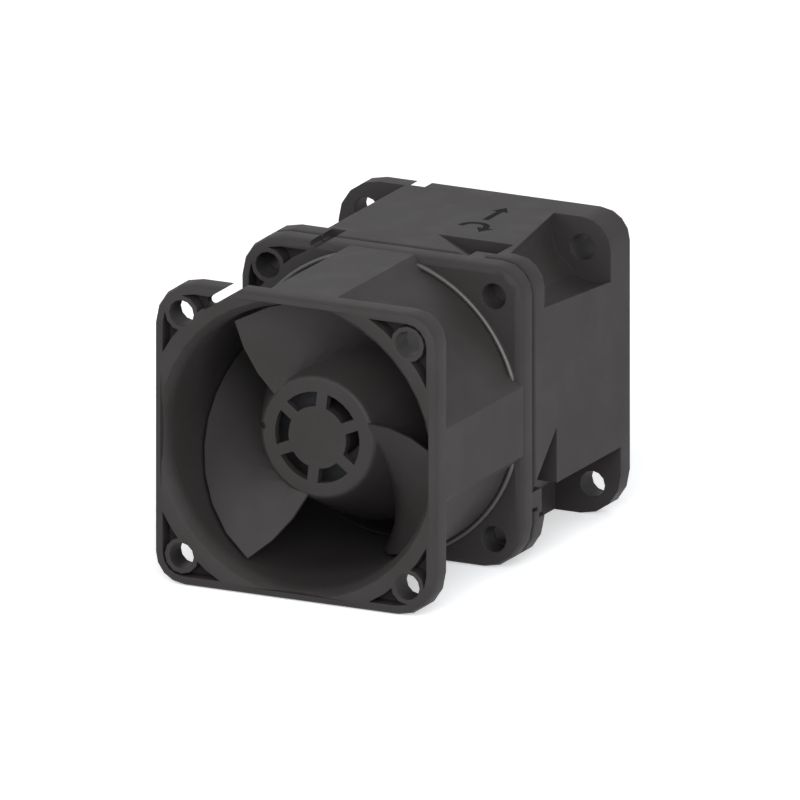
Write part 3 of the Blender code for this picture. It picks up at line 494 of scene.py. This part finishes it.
@dataclass(frozen=True)
class Arrowed(Moulded):
    """Moulded plastic with the two usual direction arrows cut into its top: air flow and turning.

    Args:
        flow: Place (x, y) of the straight arrow's middle.
        flow_tip: How far its tip lies ahead of the middle.
        shaft: Half the length of its shaft.
        shaft_back: How far the shaft's middle lies behind the arrow's.
        turning: Place (x, y) of the curved arrow's centre.
        turning_tip: How far its tip lies past the centre.
        turning_start: How far it begins before the centre.
        bend: Radius of the curved arrow.
        stroke: Half the width of a stroke.
        head: Length of an arrow head.
        flare: Half the width of a head, as a share of its length.
        blur: Half the width of a stroke's soft edge.
        reach: How far below the top the arrows end, first and last.
        cut: How deep the arrows are cut.
        cut_shade: Brightness of the cut, as a share of the base colour: painted shade in the cut.
        cut_rough: How much rougher the cut is.
    """

    flow: tuple[float, float] = (5.6 * MM, 17.6 * MM)
    flow_tip: float = 3.4 * MM
    shaft: float = 2.1 * MM
    shaft_back: float = 0.5 * MM
    turning: tuple[float, float] = (5.6 * MM, 11.6 * MM)
    turning_tip: float = 1.9 * MM
    turning_start: float = 0.1 * MM
    bend: float = 1.7 * MM
    stroke: float = 0.4 * MM
    head: float = 1.9 * MM
    flare: float = 0.6
    blur: float = 0.05 * MM
    reach: tuple[float, float] = (0.1 * MM, 0.3 * MM)
    cut: float = 0.2 * MM
    cut_shade: float = 0.2
    cut_rough: float = 0.45

    def surface(self, graph: Graph, point: Socket) -> Surface:
        """Cut the arrows into the moulded surface, and paint shade into the cut.

        Args:
            graph: The material's graph.
            point: The point of the surface.

        Returns:
            The surface's colour, roughness and height.
        """
        plain = super().surface(graph, point)
        x, y, z = graph.axes(point)
        marks = self._straight(x, y).smaller(self._curved(x, y))
        inside = marks.ramp(low=-self.blur, high=self.blur, start=1.0, end=0.0)
        first, last = self.reach
        inside = inside * z.ramp(low=TOP_HEIGHT - last, high=TOP_HEIGHT - first)
        # The cut is darkened with painted shade, made rougher and lowered.
        return Surface(
            graph.mix(inside, plain.tone, self.shade(self.cut_shade)),
            plain.rough + inside * self.cut_rough,
            plain.height - inside * self.cut,
        )

    def _straight(self, x: Socket, y: Socket) -> Socket:
        """Shape the arrow of the air flow, which points along +Y.

        Args:
            x: The point's place across the fan.
            y: The point's place along the fan.

        Returns:
            The distance to the arrow, below 0 inside it.
        """
        across = abs(x - self.flow[0])
        along = y - self.flow[1]
        shaft = (across - self.stroke).larger(abs(along + self.shaft_back) - self.shaft)
        return shaft.smaller(self._head(across, along, self.flow_tip))

    def _curved(self, x: Socket, y: Socket) -> Socket:
        """Shape the arrow of the turning, which is half a ring with a head at its end.

        Args:
            x: The point's place across the fan.
            y: The point's place along the fan.

        Returns:
            The distance to the arrow, below 0 inside it.
        """
        beside = x - self.turning[0]
        along = y - self.turning[1]
        radius = (beside * beside + along * along).power(0.5)
        ring = (abs(radius - self.bend) - self.stroke).larger(-self.turning_start - along)
        return ring.smaller(self._head(abs(beside - self.bend), -along, self.turning_tip))

    def _head(self, across: Socket, along: Socket, tip: float) -> Socket:
        """Shape an arrow head.

        Args:
            across: Distance from the arrow's line.
            along: Place along the arrow.
            tip: Where the head ends.

        Returns:
            The distance to the head, below 0 inside it.
        """
        slope = across - (tip - along) * self.flare
        return slope.larger((tip - self.head) - along)


@dataclass(frozen=True)
class Turned(Finish):
    """Turned or drawn metal: fine rings round the fan's axis, and faint stains.

    Args:
        dark: Brightness of the stains.
        light: Brightness of the clean metal.
        stain: Width of a stain.
    """

    dark: float = 0.82
    light: float = 1.08
    stain: float = 2.0 * MM

    def surface(self, graph: Graph, point: Socket) -> Surface:
        """Cut the rings and stain the metal.

        Args:
            graph: The material's graph.
            point: The point of the surface.

        Returns:
            The surface's colour, roughness and height.
        """
        radius, along = graph.round_axis(point)
        rings = graph.node("ShaderNodeCombineXYZ", {"X": radius, "Y": along})
        marks = graph.noise(rings, self.grain)
        stain = graph.noise(point, self.stain, detail=3.0).ramp(low=0.35, high=0.7)
        tone = graph.mix(stain, self.shade(self.dark), self.shade(self.light))
        return Surface(tone, marks.swing(self.roughness, self.swing), marks * self.depth)


@dataclass(frozen=True)
class Stacked(Finish):
    """Stamped sheets stacked along the fan's axis.

    Args:
        dark: Brightness of the grooves between the sheets.
        light: Brightness of the sheets.
        pitch: Thickness of one sheet.
        blot: Width of a blot in the roughness.
    """

    dark: float = 0.35
    light: float = 1.0
    pitch: float = 0.35 * MM
    blot: float = 0.9 * MM

    def surface(self, graph: Graph, point: Socket) -> Surface:
        """Part the sheets by grooves.

        Args:
            graph: The material's graph.
            point: The point of the surface.

        Returns:
            The surface's colour, roughness and height.
        """
        layer = (graph.axes(point)[1] / self.pitch).fraction()
        groove = abs(layer - 0.5).ramp(low=0.36, high=0.48)
        blot = graph.noise(point, self.blot, detail=3.0)
        tone = graph.mix(groove, self.shade(self.light), self.shade(self.dark))
        return Surface(tone, blot.swing(self.roughness, self.swing), (1.0 - groove) * self.depth)


@dataclass(frozen=True)
class Speckled(Finish):
    """A dense, speckled surface, such as ferrite, resin or solder resist.

    Args:
        light: Brightness of the lighter patches.
        swing: How far the roughness varies with the grain.
        speck: Colour of the specks.
        share: How much of the specks' colour is used.
        cloud: Width of a patch.
    """

    light: float = 1.12
    swing: float = 0.25
    speck: Color = (0.2, 0.2, 0.2)
    share: float = 0.3
    cloud: float = 4.0 * MM

    def surface(self, graph: Graph, point: Socket) -> Surface:
        """Cloud the colour and strew the specks.

        Args:
            graph: The material's graph.
            point: The point of the surface.

        Returns:
            The surface's colour, roughness and height.
        """
        grain = graph.noise(point, self.grain, detail=4.0, rough=0.7)
        cloud = graph.noise(point, self.cloud).ramp(low=0.3, high=0.7)
        tone = graph.mix(cloud, self.shade(self.dark), self.shade(self.light))
        tone = graph.mix(grain.ramp(low=0.6, high=0.75, end=self.share), tone, self.speck)
        return Surface(tone, grain.swing(self.roughness, self.swing), grain * self.depth)


@dataclass(frozen=True)
class Wound(Finish):
    """Enamelled wire in even turns.

    Args:
        dark: Brightness between two wires: painted shade.
        light: Brightness of a wire's back: a painted highlight.
        swing: How much rougher a wire's back is.
        wire: Width of one wire.
    """

    dark: float = 0.35
    light: float = 1.15
    swing: float = 0.1
    wire: float = 0.16 * MM

    def surface(self, graph: Graph, point: Socket) -> Surface:
        """Lay the wires side by side, with painted shade between them and a painted highlight on
        each wire's back.

        Args:
            graph: The material's graph.
            point: The point of the surface.

        Returns:
            The surface's colour, roughness and height.
        """
        radius, _ = graph.round_axis(point)
        turns = (radius * (math.tau / self.wire)).sine().ramp(low=-1.0, high=1.0)
        # Painted shade between the wires and a painted highlight on their backs, following the
        # turns' sine.
        tone = graph.mix(turns, self.shade(self.dark), self.shade(self.light))
        return Surface(tone, self.roughness + turns * self.swing, turns * (self.wire / 2))


class Palette:
    """Every finish of the fan, and which node wears which."""

    CASING = {
        "color": (0.0226, 0.0200, 0.0198),
        "roughness": 0.58,
        "depth": 0.004 * MM,
        "specular": 0.15,
    }

    FINISHES = (
        Moulded(Slot.CASING, **CASING),
        Arrowed(Slot.ARROWED_CASING, **CASING),
        # The bead's smoother finish is a real polish; its lighter colour is a painted highlight.
        Moulded(Slot.POLISHED_HIGHLIT_CASING, (0.036, 0.0345, 0.033), 0.4, depth=0.002 * MM),
        Moulded(
            Slot.IMPELLER, (0.0232, 0.0205, 0.0201), 0.5,
            grain=0.2 * MM, depth=0.003 * MM, specular=0.15,
        ),
        Turned(Slot.BRASS, (0.62, 0.44, 0.19), 0.3, 1.0, 0.06 * MM, 0.003 * MM),
        Turned(Slot.DRAWN_STEEL, (0.075, 0.075, 0.08), 0.5, 0.7, 0.1 * MM, 0.004 * MM),
        Turned(Slot.GROUND_STEEL, (0.6, 0.6, 0.62), 0.18, 1.0, 0.04 * MM, 0.001 * MM),
        Turned(Slot.CLIP_STEEL, (0.1, 0.1, 0.11), 0.4, 1.0, 0.08 * MM, 0.003 * MM),
        Turned(Slot.SPRING_STEEL, (0.5, 0.5, 0.52), 0.3, 1.0, 0.05 * MM, 0.002 * MM),
        Turned(Slot.BEARING_STEEL, (0.55, 0.55, 0.57), 0.24, 1.0, 0.05 * MM, 0.002 * MM),
        Stacked(Slot.LAMINATION_STEEL, (0.25, 0.26, 0.28), 0.45, 1.0, depth=0.02 * MM),
        Speckled(
            Slot.FERRITE, (0.055, 0.055, 0.06), 0.6,
            grain=0.12 * MM, speck=(0.14, 0.14, 0.15),
        ),
        Speckled(
            Slot.INSULATOR_NYLON, (0.62, 0.59, 0.52), 0.55,
            grain=0.2 * MM, speck=(0.75, 0.72, 0.66),
        ),
        Wound(Slot.ENAMELLED_COPPER, (0.6, 0.21, 0.07), 0.28, 0.7),
        Speckled(
            Slot.CIRCUIT_BOARD, (0.02, 0.15, 0.055), 0.35,
            grain=0.25 * MM, speck=(0.03, 0.2, 0.08),
        ),
        Speckled(
            Slot.CHIP_RESIN, (0.018, 0.018, 0.019), 0.55,
            grain=0.08 * MM, speck=(0.05, 0.05, 0.05),
        ),
    )

    SPECIAL = {"outlet_casing": Slot.ARROWED_CASING}

    def __init__(self) -> None:
        """Make the materials."""
        self.materials = {finish.name: finish.make() for finish in self.FINISHES}

    def dress(self) -> None:
        """Give every node of the frame its finish."""
        slots = {part["node"]: part["material_slot"] for part in frame["record"]["subparts"]}
        for name, item in frame["nodes"].items():
            material = self.materials[self.SPECIAL.get(name, slots[name])]
            if not item.material_slots:
                item.data.materials.append(material)
            for holder in item.material_slots:
                holder.material = material
            LOG.info("node %s wears %s", name, material.name)


@dataclass
class Smoothing:
    """Modifiers that shade curved faces smoothly and keep real edges crisp.

    Args:
        angle: The angle between faces above which an edge stays crisp, in degrees.
        weld: How close two corners are to count as one.
        favour: How much a large face sets the shading beside small ones, where 50 is evenly.
    """

    angle: float = 31.0
    weld: float = 0.001 * MM
    favour: int = 80

    def __post_init__(self) -> None:
        """Make the geometry nodes that all objects share."""
        self.tree = bpy.data.node_groups.new("smooth_by_angle", "GeometryNodeTree")
        for direction in ("INPUT", "OUTPUT"):
            self.tree.interface.new_socket(
                "Geometry", in_out=direction, socket_type="NodeSocketGeometry"
            )
        graph = Graph(self.tree)
        start = graph.node("NodeGroupInput")
        welded = graph.node(
            "GeometryNodeMergeByDistance", {"Geometry": start, "Distance": self.weld}
        )
        smooth = graph.node(
            "GeometryNodeSetShadeSmooth", {"Geometry": welded, "Shade Smooth": True}
        )
        bend = graph.node("GeometryNodeInputMeshEdgeAngle", output="Unsigned Angle")
        gentle = graph.node(
            "FunctionNodeCompare", {"A": bend, "B": math.radians(self.angle)},
            output="Result", operation="LESS_THAN",
        )
        crisp = graph.node(
            "GeometryNodeSetShadeSmooth", {"Geometry": smooth, "Shade Smooth": gentle},
            domain="EDGE",
        )
        graph.add("NodeGroupOutput", {0: crisp})

    def apply_to(self, item: bpy.types.Object) -> None:
        """Add the modifiers to an object.

        Args:
            item: The object.
        """
        item.modifiers.new("smoothing", "NODES").node_group = self.tree
        weighted = item.modifiers.new("even_shading", "WEIGHTED_NORMAL")
        weighted.keep_sharp = True
        weighted.weight = self.favour


@dataclass(frozen=True)
class BarrelBead:
    """The rounded bead on the barrel's lip, in one length for each open corner.

    Args:
        radius: Radius of the bead's middle line.
        depth: Distance of that line behind the inlet face.
        width: Radius of the bead's round section.
        reach: Half the angle of each length, in degrees.
        steps: Facets along one length.
        sides: Facets round the section.
        tip: Width at the ends, as a share of the full width.
        taper: Number of facets over which an end grows to the full width.
    """

    radius: float = 19.72 * MM
    depth: float = 23.92 * MM
    width: float = 0.34 * MM
    reach: float = 30.5
    steps: int = 36
    sides: int = 12
    tip: float = 0.35
    taper: float = 2.0

    def build(self, finish: bpy.types.Material) -> None:
        """Make the four lengths and let them ride on the casing.

        Args:
            finish: The bead's material.
        """
        for corner in Corner:
            bead = piece(f"barrel_bead_{corner.name.lower()}", self._length(corner), finish)
            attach(bead, "casing")
            LOG.info("piece %s", bead.name)

    def _length(self, corner: Corner) -> bmesh.types.BMesh:
        """Make one curved length with closed, tapered ends.

        Args:
            corner: The corner that it goes round.

        Returns:
            The length's mesh.
        """
        bm = bmesh.new()
        middle, reach = math.radians(corner.value), math.radians(self.reach)
        rings = []
        for step in range(self.steps + 1):
            share = step / self.steps
            angle = middle + reach * (2.0 * share - 1.0)
            ends = min(share, 1.0 - share) * self.steps
            width = self.width * min(1.0, self.tip + (1.0 - self.tip) * ends / self.taper)
            rings.append(self._ring(bm, angle, width))
        for first, second in zip(rings, rings[1:]):
            for side in range(self.sides):
                after = (side + 1) % self.sides
                bm.faces.new((first[side], first[after], second[after], second[side]))
        bm.faces.new(rings[0])
        bm.faces.new(rings[-1])
        bmesh.ops.recalc_face_normals(bm, faces=bm.faces)
        return bm

    def _ring(self, bm: bmesh.types.BMesh, angle: float, width: float) -> list[bmesh.types.BMVert]:
        """Add the corners of one round section.

        Args:
            bm: The mesh that they go into.
            angle: Where the section stands round the fan's axis, in radians.
            width: The section's radius.

        Returns:
            The corners, in order.
        """
        ring = []
        for side in range(self.sides):
            turn = math.tau * side / self.sides
            radius = self.radius + width * math.cos(turn)
            ring.append(bm.verts.new((
                radius * math.cos(angle),
                self.depth - HALF_LENGTH + width * math.sin(turn),
                AXIS_HEIGHT + radius * math.sin(angle),
            )))
        return ring


def piece(name: str, bm: bmesh.types.BMesh, finish: bpy.types.Material) -> bpy.types.Object:
    """Make an object from a mesh under construction, which is freed.

    Args:
        name: The object's name.
        bm: The mesh.
        finish: The object's material.

    Returns:
        The object, shaded smoothly and linked to the scene.
    """
    mesh = bpy.data.meshes.new(name)
    bm.to_mesh(mesh)
    bm.free()
    mesh.shade_smooth()
    mesh.materials.append(finish)
    item = bpy.data.objects.new(name, mesh)
    bpy.context.scene.collection.objects.link(item)
    return item


def direction(azimuth: float, elevation: float) -> Vector:
    """Turn a viewer's place into a direction.

    Args:
        azimuth: Angle round the fan, from its inlet towards its right, in degrees.
        elevation: Height above the horizon, in degrees.

    Returns:
        The unit vector from the fan towards the viewer.
    """
    around, above = math.radians(azimuth), math.radians(elevation)
    return Vector((
        math.sin(around) * math.cos(above),
        -math.cos(around) * math.cos(above),
        math.sin(above),
    ))


@dataclass(frozen=True)
class Lamp:
    """A soft, square area light.

    Args:
        name: The light's name.
        azimuth: Angle round the fan that it shines from, in degrees.
        elevation: Height above the horizon, in degrees.
        power: Strength in watts.
        size: Width of its square.
        distance: How far it stands from the fan.
    """

    name: str
    azimuth: float
    elevation: float
    power: float
    size: float = 0.3
    distance: float = 0.5

    def place(self, target: Vector, tint: Color) -> None:
        """Add the light to the scene.

        Args:
            target: The point that it shines at.
            tint: Its colour.
        """
        data = bpy.data.lights.new(self.name, "AREA")
        data.energy = self.power
        data.color = tint
        data.size = self.size
        item = bpy.data.objects.new(self.name, data)
        back = direction(self.azimuth, self.elevation)
        item.location = target + back * self.distance
        item.rotation_euler = (-back).to_track_quat("-Z", "Y").to_euler()
        bpy.context.scene.collection.objects.link(item)
        LOG.info("light %s", self.name)


@dataclass(frozen=True)
class PhotoCamera:
    """The photograph's flat, far-off view.

    Args:
        azimuth: Angle round the fan, in degrees.
        elevation: Angle above the horizon, in degrees.
        scale: Pixels to one metre of the view.
        anchor: The point of the fan that is held in place, at the inlet face's middle.
        anchor_pixel: Where that point lies in the picture.
        picture: Width of the square picture, in pixels.
        distance: How far the camera stands from the anchor.
        nearest: Distance at which the view begins.
        farthest: Distance at which the view ends.
    """

    azimuth: float = 26.54
    elevation: float = 16.13
    scale: float = 7887.8
    anchor: tuple[float, float, float] = (0.0, -HALF_LENGTH, AXIS_HEIGHT)
    anchor_pixel: tuple[float, float] = (294.25, 450.24)
    picture: float = 800.0
    distance: float = 0.6
    nearest: float = 0.01
    farthest: float = 10.0

    def place(self) -> None:
        """Add the camera and make it the scene's own."""
        data = bpy.data.cameras.new("camera")
        data.type = "ORTHO"
        data.ortho_scale = self.picture / self.scale
        data.clip_start, data.clip_end = self.nearest, self.farthest
        back = direction(self.azimuth, self.elevation)
        turn = (-back).to_track_quat("-Z", "Y")
        right, up = turn @ Vector((1, 0, 0)), turn @ Vector((0, 1, 0))
        middle = self.picture / 2
        target = Vector(self.anchor)
        target += right * (middle - self.anchor_pixel[0]) / self.scale
        target += up * (self.anchor_pixel[1] - middle) / self.scale
        item = bpy.data.objects.new("camera", data)
        item.location = target + back * self.distance
        item.rotation_mode = "QUATERNION"
        item.rotation_quaternion = turn
        bpy.context.scene.collection.objects.link(item)
        bpy.context.scene.camera = item
        LOG.info("camera %s", item.name)


@dataclass(frozen=True)
class Floor:
    """A wide sheet of pale paper under the fan, which shows white where the background is seen.

    Args:
        half_width: Half the width of the sheet.
        drop: How far it lies under the fan.
        color: The paper's colour, linear.
        lighter: Brightness of its lighter fibres, as a share of the colour.
        fibre: Width of a fibre.
        lift: Brightness that the background's rays see besides its light.
        roughness: The paper's roughness.
        specular: Strength of its mirror reflection.
    """

    half_width: float = 3.0
    drop: float = 0.05 * MM
    color: Color = (0.93, 0.93, 0.93)
    lighter: float = 1.01
    fibre: float = 2.0 * MM
    lift: float = 0.4
    roughness: float = 0.9
    specular: float = 0.1

    def build(self) -> None:
        """Lay the sheet."""
        bm = bmesh.new()
        bmesh.ops.create_grid(bm, x_segments=1, y_segments=1, size=self.half_width)
        mesh = bpy.data.meshes.new("floor")
        bm.to_mesh(mesh)
        bm.free()
        mesh.materials.append(self._paper())
        floor = bpy.data.objects.new("floor", mesh)
        floor.location.z = -self.drop
        bpy.context.scene.collection.objects.link(floor)
        LOG.info("stage %s", floor.name)

    def _paper(self) -> bpy.types.Material:
        """Make the paper.

        Returns:
            The floor's material.
        """
        material = bpy.data.materials.new("floor_paper")
        material.use_nodes = True
        graph = Graph(material.node_tree)
        fibres = graph.noise(graph.place(), self.fibre, detail=3.0)
        lighter = tuple(part * self.lighter for part in self.color)
        graph.fill(material.node_tree.nodes["Principled BSDF"], {
            "Base Color": graph.mix(fibres, self.color, lighter),
            "Emission Color": graph.mix(graph.background(), BLACK, WHITE),
            "Emission Strength": self.lift,
            "Roughness": self.roughness,
            "Specular IOR Level": self.specular,
        })
        return material


@dataclass(frozen=True)
class Studio:
    """A pale floor, a white backdrop and soft light.

    Args:
        floor: The floor.
        sky: Strength of the light from all round.
        cool: Tint of the lamps.
        lamps: The lamps.
    """

    floor: Floor = Floor()
    sky: float = 0.2
    cool: Color = (0.95, 0.978, 1.0)
    lamps: tuple[Lamp, ...] = (
        Lamp("front", 24.0, 24.0, 2.1),
        Lamp("left", -36.0, 28.0, 1.15),
        Lamp("top", 50.0, 72.0, 0.4, size=0.35),
        Lamp("right", 72.0, 9.0, 1.7),
        Lamp("back_right", 150.0, 45.0, 0.25),
        Lamp("back_left", -140.0, 40.0, 0.2),
    )

    def build(self) -> None:
        """Make the floor, the light and the colour behind it."""
        self.floor.build()
        self._world()
        for lamp in self.lamps:
            lamp.place(Vector((0.0, 0.0, AXIS_HEIGHT)), self.cool)
        bpy.context.scene.view_settings.view_transform = "Standard"

    def _world(self) -> None:
        """Shine from all round, and be white where the background is seen."""
        world = bpy.data.worlds.new("studio")
        world.use_nodes = True
        world.node_tree.nodes.clear()
        graph = Graph(world.node_tree)
        light = graph.node("ShaderNodeBackground", {"Color": WHITE, "Strength": self.sky})
        white = graph.node("ShaderNodeBackground", {"Color": WHITE, "Strength": 1.0})
        both = graph.node("ShaderNodeMixShader", {0: graph.background(), 1: light, 2: white})
        graph.add("ShaderNodeOutputWorld", {"Surface": both})
        bpy.context.scene.world = world


def main() -> None:
    """Dress the fan, add its bead, light it and take the photograph's view."""
    logging.basicConfig(level=logging.INFO, format="%(name)s: %(message)s")
    palette = Palette()
    palette.dress()
    smoothing = Smoothing()
    for item in frame["nodes"].values():
        smoothing.apply_to(item)
    BarrelBead().build(palette.materials[Slot.POLISHED_HIGHLIT_CASING])
    Studio().build()
    PhotoCamera().place()


if __name__ == "__main__":
    main()
